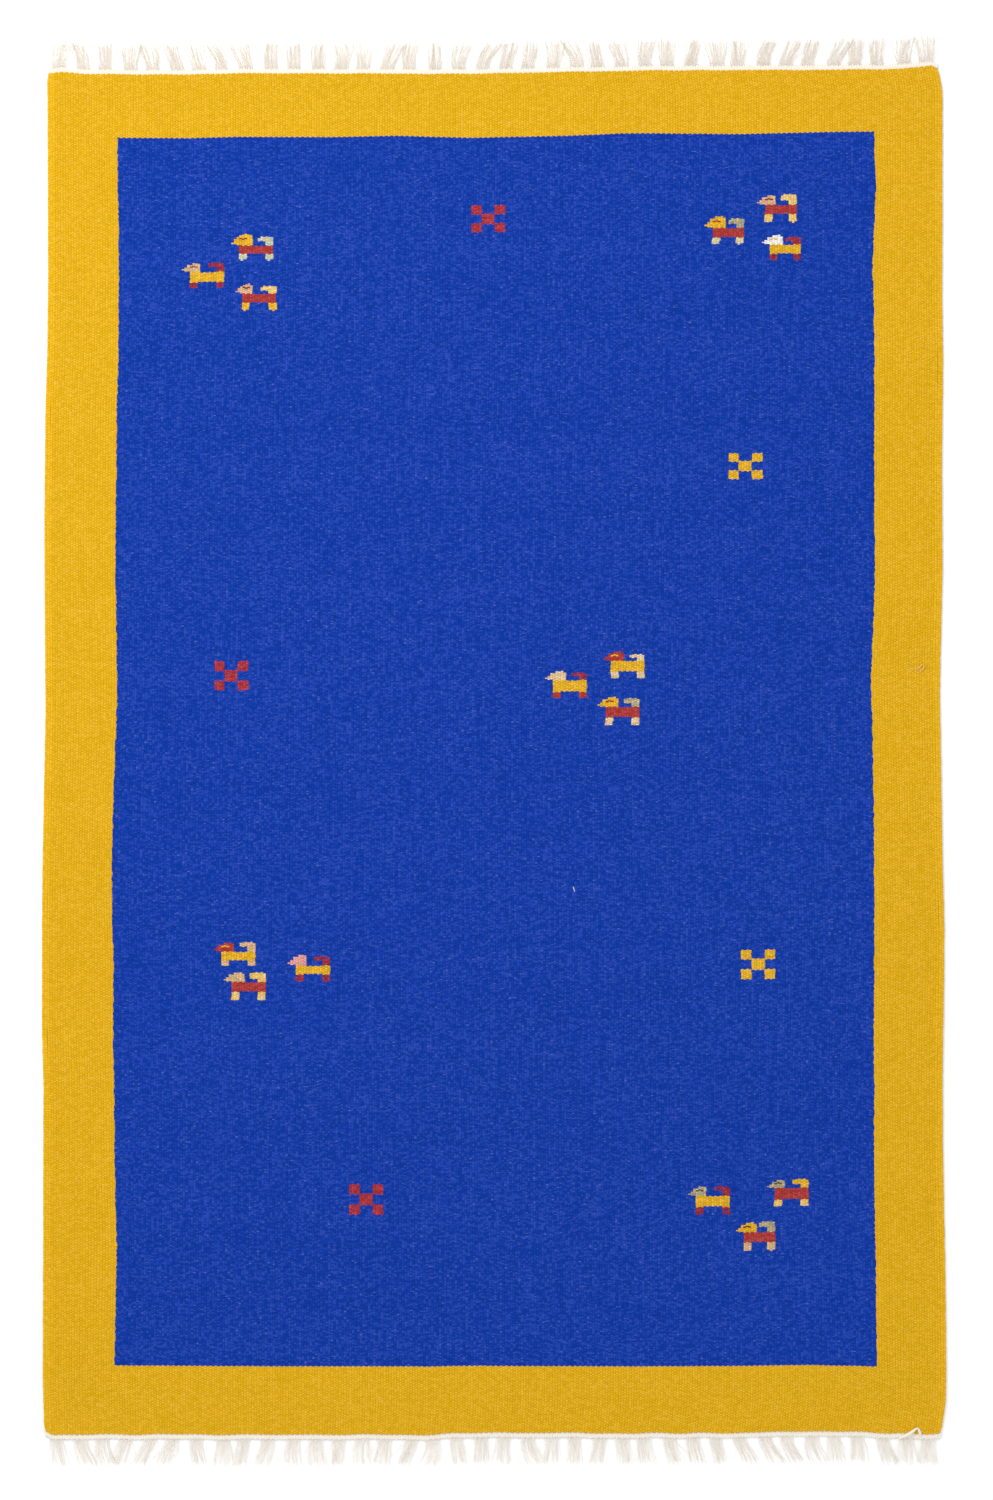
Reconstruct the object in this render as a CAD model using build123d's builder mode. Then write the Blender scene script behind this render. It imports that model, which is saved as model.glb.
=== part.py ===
from build123d import *
import os
from collections import namedtuple

# A handwoven flatweave rug: a blue field with five herds of small horses and
# five crosses, inside a yellow border, with a fringe at each end.
# It lies flat.  X runs across the rug, Y along the warps, and Z is up.
# The origin is at the middle of the underside.  Sizes are in millimetres.
#
# The cloth is a tapestry: cotton warps run from end to end, and every colour
# is a wool weft of its own that turns back where its colour stops.  A colour
# can only stop between two warps, so widths are counted in warps ("columns").

# ---- Warps ----
rug_width = 1200.0
tassels_per_end = 38
warps_per_tassel = 9
warp_count = tassels_per_end * warps_per_tassel
warp_pitch = rug_width / warp_count
warp_breadth = 1.8
warp_thickness = 1.2

# ---- Cloth ----
weft_thickness = 1.4
cloth_thickness = warp_thickness + 2 * weft_thickness
warp_middle = cloth_thickness / 2
coloured_length = 1822.0
end_web_length = 6.5
coloured_end = coloured_length / 2
web_end = coloured_end + end_web_length

# ---- Border ----
selvedge_columns = 2
selvedge_chamfer = 1.2
left_border_columns = 27
right_border_columns = 26
top_border_depth = 83.5
bottom_border_depth = 89.5
field_top = coloured_end - top_border_depth
field_bottom = -coloured_end + bottom_border_depth
field_first = left_border_columns
field_last = warp_count - right_border_columns

# ---- Fringe ----
tassel_length = 34.0
tassel_root = 15.0
tassel_tip = 18.0
tassel_thickness = 2.6
tassel_leans = [5.0, -2.0, 2.0, -6.0, 3.5, -4.0, 0.5, 4.0, -5.0]

# ---- Horses, all facing left ----
# column: warps from the left edge to the chest; back: the height of the back along Y;
# columns and depth: the body; face and crown: the head's columns and its height;
# rise and plume: how high the tail stands over the back, and how thick it is; leg: its height
Horse = namedtuple("Horse", "name column back columns depth face crown rise plume leg has_eye")
nose_columns = 3
leg_columns = 3
tail_columns = 6
tail_root_columns = 3
eye_columns = 3
eye_height = 2.0
eye_level = 0.5

horses = [
    Horse("horse_01", 73, 681.0, 13, 11.5, 5, 15.0, 11.5, 5.5, 8.5, True),
    Horse("horse_02", 54, 646.5, 13, 14.0, 4, 12.0, 12.5, 6.5, 8.0, True),
    Horse("horse_03", 75, 616.5, 13, 12.5, 4, 13.0, 10.0, 6.0, 10.5, True),
    Horse("horse_04", 254, 700.5, 12, 13.0, 5, 15.5, 12.5, 7.0, 9.0, True),
    Horse("horse_05", 274, 731.0, 12, 12.5, 4, 13.0, 14.0, 8.0, 11.0, True),
    Horse("horse_06", 276, 678.0, 12, 12.5, 5, 12.5, 10.0, 5.5, 9.0, True),
    Horse("horse_07", 194, 96.5, 13, 16.0, 5, 12.0, 10.0, 4.5, 8.5, False),
    Horse("horse_08", 216, 122.0, 13, 15.0, 5, 12.5, 8.5, 4.5, 9.0, True),
    Horse("horse_09", 214, 60.0, 13, 14.5, 5, 13.0, 11.5, 7.0, 10.5, True),
    Horse("horse_10", 68, -265.5, 13, 12.5, 5, 12.0, 12.5, 6.0, 7.0, True),
    Horse("horse_11", 72, -306.0, 13, 13.5, 5, 12.5, 12.5, 8.5, 11.5, False),
    Horse("horse_12", 96, -284.0, 13, 12.0, 4, 14.5, 12.5, 6.0, 10.0, False),
    Horse("horse_13", 248, -595.0, 13, 15.0, 4, 13.0, 13.0, 6.0, 10.5, True),
    Horse("horse_14", 278, -585.0, 13, 16.0, 4, 11.0, 11.5, 7.0, 9.0, True),
    Horse("horse_15", 266, -644.0, 12, 14.0, 5, 13.0, 14.0, 7.0, 11.0, True),
]

# ---- Crosses: four small blocks joined at their corners by a middle one ----
# column and top: the upper left corner; block: the height of each outer block
Cross = namedtuple("Cross", "column top block")
outer_block_columns = 4
middle_block_columns = 5
corner_lap = 1.0
red_crosses = [
    Cross(162, 735.0, 12.0),
    Cross(65, 124.5, 13.0),
    Cross(116, -577.0, 13.5),
]
yellow_crosses = [
    Cross(261, 399.0, 11.5),
    Cross(265, -266.0, 13.0),
]


def column_x(column):
    """The middle of the gap to the left of this warp."""
    return -rug_width / 2 + column * warp_pitch


def block_outline(first, last, low, high):
    """Corners of a rectangle of cloth, from column first to column last."""
    left = column_x(first)
    right = column_x(last)
    return [(left, low), (right, low), (right, high), (left, high)]


def head_outline(horse):
    """A square head whose forehead steps down one warp at a time to the nose."""
    steps = [(column_x(horse.column + horse.face), horse.back)]
    steps.append((column_x(horse.column + horse.face), horse.back + horse.crown))
    steps.append((column_x(horse.column), horse.back + horse.crown))
    for step in range(nose_columns):
        level = horse.back + horse.crown * (nose_columns - step) / (nose_columns + 1)
        steps.append((column_x(horse.column - step), level))
        steps.append((column_x(horse.column - step - 1), level))
    steps.append((column_x(horse.column - nose_columns), horse.back))
    return steps


def eye_outline(horse):
    """A short dash halfway up the head."""
    level = horse.back + horse.crown * eye_level
    return block_outline(horse.column, horse.column + eye_columns, level, level + eye_height)


def body_outline(horse):
    """The plain block of the body."""
    return block_outline(horse.column, horse.column + horse.columns, horse.back - horse.depth, horse.back)


def tail_outline(horse):
    """A tail that stands on the rump and points forwards."""
    rear = column_x(horse.column + horse.columns)
    root = column_x(horse.column + horse.columns - tail_root_columns)
    tip = column_x(horse.column + horse.columns - tail_columns)
    top = horse.back + horse.rise
    return [(rear, horse.back), (rear, top), (tip, top), (tip, top - horse.plume),
            (root, top - horse.plume), (root, horse.back)]


def leg_outlines(horse):
    """A front and a rear leg, flush with the ends of the body."""
    belly = horse.back - horse.depth
    rear = horse.column + horse.columns
    front_leg = block_outline(horse.column, horse.column + leg_columns, belly - horse.leg, belly)
    rear_leg = block_outline(rear - leg_columns, rear, belly - horse.leg, belly)
    return [front_leg, rear_leg]


def cross_outlines(cross):
    """The five blocks of a cross; the middle one reaches a little way beside the others."""
    far_column = cross.column + outer_block_columns + middle_block_columns
    blocks = []
    for column in (cross.column, far_column):
        for top in (cross.top, cross.top - 2 * cross.block):
            blocks.append(block_outline(column, column + outer_block_columns, top - cross.block, top))
    middle_column = cross.column + outer_block_columns
    blocks.append(block_outline(middle_column, middle_column + middle_block_columns,
                                cross.top - 2 * cross.block - corner_lap,
                                cross.top - cross.block + corner_lap))
    return blocks


def cut_warp_channels(outlines):
    """Cut the channels that the hidden warps run in through the solids of the open part."""
    margin = 1.0
    left = min(x for outline in outlines for x, y in outline)
    right = max(x for outline in outlines for x, y in outline)
    low = min(y for outline in outlines for x, y in outline) - margin
    high = max(y for outline in outlines for x, y in outline) + margin
    first = round((left + rug_width / 2) / warp_pitch)
    last = round((right + rug_width / 2) / warp_pitch)
    places = [(column_x(column + 0.5), (low + high) / 2, warp_middle) for column in range(first, last)]
    with Locations(places):
        Box(warp_breadth, high - low, warp_thickness, mode=Mode.SUBTRACT)


def write_node(part, name):
    """Label a finished piece and write its file."""
    part.label = name
    export_step(part, f"parts/{name}.step")
    print(name, len(part.solids()), "solids", round(part.volume), "mm3")


def weave(name, outlines, holes=()):
    """One piece of cloth of one colour, woven round the warps that cross it."""
    with BuildPart() as cloth:
        with BuildSketch():
            for outline in outlines:
                Polygon(*outline, align=None)
            for hole in holes:
                Polygon(*hole, align=None, mode=Mode.SUBTRACT)
        extrude(amount=cloth_thickness)
        cut_warp_channels(outlines)
    write_node(cloth.part, name)


def weave_selvedge(name, first, last, outer_edge):
    """An edge cord: the last warps, wrapped in yellow, with the outer edges eased."""
    outline = block_outline(first, last, -coloured_end, coloured_end)
    with BuildPart() as selvedge:
        with BuildSketch():
            Polygon(*outline, align=None)
        extrude(amount=cloth_thickness)
        outer_face = selvedge.faces().sort_by(Axis.X)[outer_edge]
        chamfer(outer_face.edges().filter_by(Axis.Y), selvedge_chamfer)
        cut_warp_channels([outline])
    write_node(selvedge.part, name)


def tie_fringe(name, end):
    """One end's fringe: each tassel is the loose ends of nine warps, lying on the floor."""
    with BuildPart() as fringe:
        with BuildSketch():
            for tassel in range(tassels_per_end):
                middle = column_x((tassel + 0.5) * warps_per_tassel)
                lean = tassel_leans[tassel % len(tassel_leans)]
                root = end * web_end
                tip = end * (web_end + tassel_length)
                Polygon((middle - tassel_root / 2, root), (middle + tassel_root / 2, root),
                        (middle + tassel_tip / 2 + lean, tip), (middle - tassel_tip / 2 + lean, tip),
                        align=None)
        extrude(amount=tassel_thickness)
    write_node(fringe.part, name)


os.makedirs("parts", exist_ok=True)

# ---- Warps: straight from one end web's outer edge to the other's ----
with BuildPart() as warps:
    with Locations([(column_x(column + 0.5), 0, warp_middle) for column in range(warp_count)]):
        Box(warp_breadth, 2 * web_end, warp_thickness)
write_node(warps.part, "warps")

# ---- Horses and crosses ----
motifs = []
eyes = []
for horse in horses:
    head = head_outline(horse)
    body = body_outline(horse)
    tail_and_legs = [tail_outline(horse)] + leg_outlines(horse)
    eye = [eye_outline(horse)] if horse.has_eye else []
    weave(horse.name + "_head", [head], eye)
    weave(horse.name + "_body", [body])
    weave(horse.name + "_tail_and_legs", tail_and_legs)
    motifs += [head, body] + tail_and_legs
    eyes += eye
weave("horse_eyes", eyes)

red_blocks = [block for cross in red_crosses for block in cross_outlines(cross)]
yellow_blocks = [block for cross in yellow_crosses for block in cross_outlines(cross)]
weave("crosses_red", red_blocks)
weave("crosses_yellow", yellow_blocks)
motifs += red_blocks + yellow_blocks

# ---- Field and border ----
weave("field", [block_outline(field_first, field_last, field_bottom, field_top)], motifs)
inner_first = selvedge_columns
inner_last = warp_count - selvedge_columns
weave("border_left", [block_outline(inner_first, field_first, field_bottom, field_top)])
weave("border_right", [block_outline(field_last, inner_last, field_bottom, field_top)])
weave("border_top", [block_outline(inner_first, inner_last, field_top, coloured_end)])
weave("border_bottom", [block_outline(inner_first, inner_last, -coloured_end, field_bottom)])
weave_selvedge("selvedge_left", 0, inner_first, 0)
weave_selvedge("selvedge_right", inner_last, warp_count, -1)

# ---- Ends ----
weave("end_web_top", [block_outline(0, warp_count, coloured_end, web_end)])
weave("end_web_bottom", [block_outline(0, warp_count, -web_end, -coloured_end)])
tie_fringe("fringe_top", 1)
tie_fringe("fringe_bottom", -1)
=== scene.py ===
import math
import random

import bpy
import numpy as np
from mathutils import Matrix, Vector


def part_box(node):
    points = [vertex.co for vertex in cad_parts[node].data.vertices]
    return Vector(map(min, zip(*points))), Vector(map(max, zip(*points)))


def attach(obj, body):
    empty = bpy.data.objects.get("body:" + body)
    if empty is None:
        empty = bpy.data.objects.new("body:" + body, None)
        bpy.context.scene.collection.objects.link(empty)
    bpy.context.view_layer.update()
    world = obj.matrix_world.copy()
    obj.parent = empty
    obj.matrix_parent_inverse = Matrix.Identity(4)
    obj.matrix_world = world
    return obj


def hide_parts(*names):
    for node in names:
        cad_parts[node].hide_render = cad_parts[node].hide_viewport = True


# The looks of a handwoven flatweave rug: a blue wool field with five herds of
# small horses and five crosses, inside a yellow border, with a cotton web and
# tassels at each end.  Metres, in the CAD's own frame: X across the rug, Y
# along the warps, Z up, the origin at the middle of the underside.
#
# Every colour is a closed skin of its own, woven over the same warps: one rib
# for each warp, a groove in every gap, teeth where a colour ends on a pick and
# small jags where it turns back beside a warp.

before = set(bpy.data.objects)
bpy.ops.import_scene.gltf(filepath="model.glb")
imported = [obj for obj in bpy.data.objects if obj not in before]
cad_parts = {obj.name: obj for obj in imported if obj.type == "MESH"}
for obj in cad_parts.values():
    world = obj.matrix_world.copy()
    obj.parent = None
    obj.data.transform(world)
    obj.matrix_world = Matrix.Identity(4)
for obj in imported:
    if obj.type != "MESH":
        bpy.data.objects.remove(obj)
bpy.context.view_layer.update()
MM = 0.001

# ---- Cloth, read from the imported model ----
WARPS = 342
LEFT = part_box("selvedge_left")[0].x
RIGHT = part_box("selvedge_right")[1].x
PITCH = (RIGHT - LEFT) / WARPS
FIELD_LOW, FIELD_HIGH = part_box("field")
THICK = FIELD_HIGH.z
WOVEN_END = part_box("border_top")[1].y
WEB_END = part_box("end_web_top")[1].y
FRINGE_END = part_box("fringe_top")[1].y
WARP_MIDDLE = (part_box("warps")[0].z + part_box("warps")[1].z) / 2

# ---- Weave ----
MICRON = 1e-6
GROOVE = 0.5 * MM
# The shoulder of a rib: its place as a share of the pitch, and its drop.
SHOULDER = 0.24
SHOULDER_DROP = 0.17 * MM
TOOTH = 0.42 * MM
JAG = 0.95 * MM
# Heights along a warp are whole microns, so that two skins meet exactly.  A
# STEP is the distance between rows of points, and a CLEAR the least distance
# from a row to the end of a colour.
JAG_SEED = 7919
JAG_STEP = 3200
JAG_CLEAR = 600
CLOSE_CLEAR = 500
JOIN_STEP = 5 * JAG_STEP
JOIN_WARPS = 6
ROW_STEP = 60000
ROW_CLEAR = 2500
END_ROW_STEP = 6000
END_ROWS_FROM = 860000
PAST_THE_END = 10 ** 6
SAME_SPAN = 20 * MICRON
TOP_FACE = 10 * MICRON
BEAD = 2.2 * MM

# How the cloth lies: how far each edge strays from a true rectangle, in mm,
# at places along it in metres.  Plus is towards +X or +Y.
LEFT_EDGE = [(-0.92, -2), (-0.84, -4), (-0.45, -3), (-0.38, -5), (-0.2, -5), (-0.05, -2.5),
             (0.05, -0.5), (0.3, -2), (0.46, -0.5), (0.54, 2), (0.64, 3), (0.92, 2)]
RIGHT_EDGE = [(-0.92, -1), (-0.9, 2), (-0.87, 6), (-0.84, 7), (-0.7, 6), (-0.53, 2.5), (-0.42, 2),
              (-0.3, 4), (-0.23, 4.5), (-0.15, 2), (0.08, -1.5), (0.25, 2), (0.38, 1), (0.52, 3),
              (0.6, 1.5), (0.88, 2), (0.92, -5)]
TOP_EDGE = [(-0.6, -1), (-0.58, 1), (-0.55, -1.5), (-0.41, -2.5), (-0.35, -0.5), (-0.04, -1.5),
            (0.2, 3), (0.45, 4), (0.55, 5), (0.59, 10), (0.6, 5.5)]
BOTTOM_EDGE = [(-0.6, 2.5), (-0.588, -3.5), (-0.54, -2.5), (-0.09, -3), (-0.02, 0), (0.2, -1),
               (0.34, -0.5), (0.42, 2), (0.48, 1), (0.56, -2), (0.6, -1.5)]
# How far the joins between field and border stray as well, in mm.
LEFT_JOIN = [(-0.82, 0.5), (-0.66, 3.5), (-0.57, 1), (-0.45, -0.5), (-0.28, 0.5), (-0.19, -2),
             (-0.1, -2), (0, -0.5), (0.09, 2), (0.23, 0.5), (0.38, 1), (0.7, 0.5), (0.8, -1)]
RIGHT_JOIN = [(-0.82, -1), (-0.6, -1.5), (-0.45, 0), (-0.35, -1.5), (-0.24, -2), (-0.1, 0.5),
              (0.04, 0), (0.09, -1.5), (0.21, 1), (0.42, 0.5), (0.5, -1), (0.6, -0.5),
              (0.65, -2.5), (0.75, 2), (0.8, 0)]
TOP_JOIN = [(-0.5, -2), (-0.22, -2), (-0.13, 0), (-0.03, -2.5), (0.1, -2), (0.17, 0), (0.33, -2),
            (0.45, 0.5)]
BOTTOM_JOIN = [(-0.5, 2.5), (-0.3, 1.5), (-0.1, 1.5), (0, -0.5), (0.35, 0), (0.45, -1.5)]
JOIN_REACH = 30 * MM
# How far the motifs sit off the straight weave, in mm right and up: the
# horses by number, the crosses by place.
HORSE_STRAY = {"01": (1, -1), "02": (1.5, -1), "03": (-2.5, -1), "04": (1, 0), "05": (1, 0),
               "07": (0, 0.5), "08": (0, 0.5), "09": (0.5, 1), "10": (-0.5, 0), "11": (-0.5, 0),
               "12": (1, 0), "13": (-1, 1.5), "14": (-1.5, 1), "15": (-1.5, 1.5)}
MOTIF_STRAY = [(-0.009, 0.717, -0.5, -1), (-0.349, 0.106, -1.5, -1.5), (-0.17, -0.597, 0.5, 0.5),
               (0.339, 0.382, -1.5, 0.5), (0.353, -0.285, 0, 1.5)]
for number, (right, up) in HORSE_STRAY.items():
    low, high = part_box("horse_" + number + "_body")
    MOTIF_STRAY.append(((low.x + high.x) / 2, (low.y + high.y) / 2, right, up))
MOTIF_REACH = 34 * MM
FOOT_REACH = (7 * MM, 6 * MM)
# The two ends are scalloped, the bottom one twice as much as the top.
SCALLOP = 0.5 * MM
SCALLOP_HOLD = 40
# How far the cloth lifts off the floor, in mm: everywhere, along the sides
# from CURL_FROM outwards, and in a pucker round a pinched corner.
RIPPLE = 0.35
CURL = 0.5
CURL_FROM, CURL_WIDTH = 0.52, 0.08
PUCKER = (0.5625, -0.9035)
PUCKER_REACH = 16 * MM


def along(points, at):
    """How far an edge strays at some places along it, in metres."""
    places = np.array([p[0] for p in points])
    offsets = np.array([p[1] for p in points]) * MM
    return np.interp(at, places, offsets)


def near(at, join):
    """1 at a join, falling to nothing a few centimetres away."""
    return np.exp(-((at - join) / JOIN_REACH) ** 2)


def foot_nudge(u, v):
    """How far the weave is drawn aside at the horses' feet, in metres."""
    shift = np.zeros(np.broadcast(u, v).shape)
    for x, y, by in FEET:
        shift = shift + by * MM * np.exp(-((u - x) / FOOT_REACH[0]) ** 2 - ((v - y) / FOOT_REACH[1]) ** 2)
    return shift


def lay(u, v, z):
    """Where a point of the straight weave lies on the floor."""
    u = np.asarray(u, float)
    v = np.asarray(v, float)
    across = np.clip((u - LEFT) / (RIGHT - LEFT), 0, 1)
    up = np.clip((v + WOVEN_END) / (2 * WOVEN_END), 0, 1)
    beside = np.clip((FIELD_HIGH.y + JOIN_REACH - np.abs(v)) / JOIN_REACH, 0, 1)
    drift = along(LEFT_JOIN, v) * near(u, FIELD_LOW.x) + along(RIGHT_JOIN, v) * near(u, FIELD_HIGH.x)
    x = u + foot_nudge(u, v) + drift * beside
    x = x + along(LEFT_EDGE, v) * (1 - across) + along(RIGHT_EDGE, v) * across
    scallop = np.sin(u * 71 + 1.3 * np.sin(u * 23)) + 0.6 * np.sin(u * 113 + 2)
    y = v + along(TOP_EDGE, u) * up ** 2 + along(BOTTOM_EDGE, u) * (1 - up) ** 2
    y = y + SCALLOP * scallop * ((1 - up) ** SCALLOP_HOLD + 0.5 * up ** SCALLOP_HOLD)
    beside = np.clip((FIELD_HIGH.x + JOIN_REACH - np.abs(u)) / JOIN_REACH, 0, 1)
    drift = along(TOP_JOIN, u) * near(v, FIELD_HIGH.y) + along(BOTTOM_JOIN, u) * near(v, FIELD_LOW.y)
    y = y + beside * drift
    for at_x, at_y, to_right, to_top in MOTIF_STRAY:
        pull = np.exp(-(((u - at_x) ** 2 + (v - at_y) ** 2) / MOTIF_REACH ** 2) ** 2)
        x, y = x + to_right * MM * pull, y + to_top * MM * pull
    ripple = np.sin(u * 9.0 + 1.7 * np.sin(v * 4.1)) * np.sin(v * 6.3 + 0.9 * np.sin(u * 5.0))
    edge = np.clip((np.abs(u) - CURL_FROM) / CURL_WIDTH, 0, 1) ** 2
    curl = edge * (0.5 + 0.5 * np.sin(v * 17 + u * 4))
    away = np.hypot(u - PUCKER[0], (v - PUCKER[1]) * 1.2)
    turn = np.arctan2(v - PUCKER[1], u - PUCKER[0])
    pucker = np.exp(-(away / PUCKER_REACH) ** 2) * (1.5 + 0.8 * np.cos(3 * turn + 0.6))
    lift = RIPPLE * (1 + ripple) + CURL * curl + pucker
    return x, y, np.asarray(z, float) + lift * MM


# How far the front and the rear foot of each horse stray sideways, in mm.
FOOT_STRAY = {"horse_01": (-2.2, -0.8), "horse_03": (-2.4, 1.6), "horse_04": (-2.5, -2.0),
              "horse_05": (-2.0, 1.0), "horse_08": (1.0, 0.4), "horse_09": (-2.4, -1.6),
              "horse_10": (1.0, 1.0), "horse_11": (-1.2, 0.0), "horse_14": (-2.0, -1.4),
              "horse_15": (-1.2, -0.5)}
HORSE_NAMES = sorted(n[:-len("_head")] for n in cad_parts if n.endswith("_head"))
# Every foot as (x, y, sideways), and the boxes round the feet where rows of
# points stand close enough to follow it.
FEET = []
FOOT_IN, FOOT_UP = 1.5 * PITCH, 1 * MM
CLOSE_ROWS = []
CLOSE_LEFT, CLOSE_RIGHT, CLOSE_UNDER, CLOSE_OVER = 5 * PITCH, 3 * PITCH, 8 * MM, 14 * MM
for horse in HORSE_NAMES:
    low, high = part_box(horse + "_tail_and_legs")
    CLOSE_ROWS.append((low.x - CLOSE_LEFT, high.x + CLOSE_RIGHT, low.y - CLOSE_UNDER, low.y + CLOSE_OVER))
    front, rear = FOOT_STRAY.get(horse, (0.0, 0.0))
    FEET.append((low.x + FOOT_IN, low.y + FOOT_UP, front))
    FEET.append((high.x - FOOT_IN, low.y + FOOT_UP, rear))


# ---- Which warps and which stretch of them each CAD node holds ----
def top_triangles(node):
    """The triangles of a CAD node's upper face."""
    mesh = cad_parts[node].data
    mesh.calc_loop_triangles()
    points = np.zeros(len(mesh.vertices) * 3, np.float32)
    corners = np.zeros(len(mesh.loop_triangles) * 3, np.int32)
    mesh.vertices.foreach_get("co", points)
    mesh.loop_triangles.foreach_get("vertices", corners)
    triangles = points.reshape(-1, 3).astype(float)[corners.reshape(-1, 3)]
    return triangles[(triangles[:, :, 2] > THICK - TOP_FACE).all(1)]


def column_spans(node):
    """{warp: [(low, high), ...]} in microns along Y, for one CAD node."""
    found = {}
    for triangle in top_triangles(node):
        first = math.ceil((triangle[:, 0].min() - LEFT) / PITCH - 0.5)
        last = math.floor((triangle[:, 0].max() - LEFT) / PITCH - 0.5)
        for column in range(first, last + 1):
            at = LEFT + (column + 0.5) * PITCH
            crossings = []
            for a, b in ((0, 1), (1, 2), (2, 0)):
                p, q = triangle[a], triangle[b]
                if p[0] != q[0] and (p[0] - at) * (q[0] - at) <= 0:
                    crossings.append(p[1] + (q[1] - p[1]) * (at - p[0]) / (q[0] - p[0]))
            if len(crossings) > 1 and max(crossings) - min(crossings) > MICRON:
                found.setdefault(column, []).append((min(crossings), max(crossings)))
    spans = {}
    for column, pieces in found.items():
        merged = []
        for low, high in sorted(pieces):
            if merged and low < merged[-1][1] + SAME_SPAN:
                merged[-1][1] = max(merged[-1][1], high)
            else:
                merged.append([low, high])
        spans[column] = [(toothed(column, low), toothed(column, high)) for low, high in merged]
    return spans


def toothed(column, y):
    """An end of a span in microns: a pick up or down by turns, and shifted at a rounded corner."""
    tooth = TOOTH if column % 2 else -TOOTH
    return round((y + tooth + ROUNDED.get(corner_key(column, y), 0.0)) / MICRON)


# The shift of each end of a span that the weaver rounded off.
ROUNDED = {}
NOSE_WARPS = 3
PLUME_WARPS = 6
# How much is rounded off each corner of a horse, in mm.
CROWN, BROW, NAPE, RUMP, PLUME, FOOT, SAG = 2.6, 0.7, 1.6, 0.9, 1.5, 1.1, 0.8
NOSE = (1.7, 1.1, 0.5)
CORNER_STEP = 0.1 * MM


def corner_key(column, y):
    """A corner's warp, and its height coarsely enough to find it again."""
    return column, round(y / CORNER_STEP)


def round_corner(column, y, shift):
    ROUNDED[corner_key(column, y)] = shift * MM


def warp_at(x):
    return round((x - LEFT) / PITCH)


for horse in HORSE_NAMES:
    low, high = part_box(horse + "_head")
    crown, nape = warp_at(low.x) + NOSE_WARPS, warp_at(high.x) - 1
    round_corner(crown, high.y, -CROWN)
    round_corner(crown + 1, high.y, -BROW)
    round_corner(nape, high.y, -NAPE)
    for step, rise in enumerate(NOSE):
        round_corner(crown - NOSE_WARPS + step, low.y, rise)
    low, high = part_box(horse + "_tail_and_legs")
    rump = warp_at(high.x) - 1
    round_corner(rump, high.y, -RUMP)
    round_corner(rump - PLUME_WARPS + 1, high.y, -PLUME)
    for foot in (warp_at(low.x), warp_at(low.x) + 2, rump - 2, rump):
        round_corner(foot, low.y, FOOT)
    belly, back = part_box(horse + "_body")
    for column in range(nape + 1, rump - 2):
        round_corner(column, back.y, -SAG)
    for column in range(warp_at(low.x) + 3, rump - 2):
        round_corner(column, belly.y, SAG)


WOVEN_KINDS = ("field", "border", "end", "crosses", "horse")
WOVEN = sorted(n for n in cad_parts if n.split("_")[0] in WOVEN_KINDS)
SPANS = {node: column_spans(node) for node in WOVEN}
OWNERS = {}
for node, columns in SPANS.items():
    for column, spans in columns.items():
        OWNERS.setdefault(column, []).extend((low, high, node) for low, high in spans)


def owner(column, y):
    """The node whose weft covers a warp at a height, if any does."""
    for low, high, node in OWNERS.get(column, ()):
        if low < y < high:
            return node
    return None


def jag_levels(line):
    """Heights at which a colour join beside this warp gap juts left or right, in microns."""
    left, right = OWNERS.get(line - 1, ()), OWNERS.get(line, ())
    cuts = sorted({y for low, high, _ in (*left, *right) for y in (low, high)})
    levels = {}
    for low, high in zip(cuts, cuts[1:]):
        sides = owner(line - 1, (low + high) / 2), owner(line, (low + high) / 2)
        if sides[0] != sides[1] and None not in sides:
            first, last = math.ceil((low + JAG_CLEAR) / JAG_STEP), math.floor((high - JAG_CLEAR) / JAG_STEP)
            for step in range(first, last + 1):
                shift = random.Random(line * JAG_SEED + step).uniform(-1, 1)
                levels[step * JAG_STEP] = shift * JAG
    return levels


JAGS = {line: jag_levels(line) for line in range(1, WARPS)}


def row_levels(column, low, high):
    """Heights of the rows of points between two ends of a warp, in microns."""
    rows = {low, high}
    x = LEFT + (column + 0.5) * PITCH
    for left, right, bottom, top in CLOSE_ROWS:
        if left < x < right:
            first, last = math.ceil(bottom / MICRON / JAG_STEP), math.floor(top / MICRON / JAG_STEP)
            close = (n * JAG_STEP for n in range(first, last + 1))
            rows.update(y for y in close if low + CLOSE_CLEAR < y < high - CLOSE_CLEAR)
    if min(abs(x - FIELD_LOW.x), abs(x - FIELD_HIGH.x)) < JOIN_WARPS * PITCH:
        first, last = math.ceil((low + ROW_CLEAR) / JOIN_STEP), math.floor((high - ROW_CLEAR) / JOIN_STEP)
        rows.update(n * JOIN_STEP for n in range(first, last + 1))
    for step, start, stop in ((ROW_STEP, -END_ROWS_FROM, END_ROWS_FROM),
                              (END_ROW_STEP, END_ROWS_FROM, PAST_THE_END),
                              (END_ROW_STEP, -PAST_THE_END, -END_ROWS_FROM)):
        for n in range(math.ceil(max(low, start) / step), math.floor(min(high, stop) / step) + 1):
            if low + ROW_CLEAR < n * step < high - ROW_CLEAR:
                rows.add(n * step)
    return sorted(rows)


class Skin:
    """A closed skin of cloth, gathered point by point."""

    def __init__(self):
        self.index = {}
        self.points = []
        self.faces = []

    def point(self, key, u, v, z):
        if key not in self.index:
            self.index[key] = len(self.points)
            self.points.append((u, v, z))
        return self.index[key]


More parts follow.
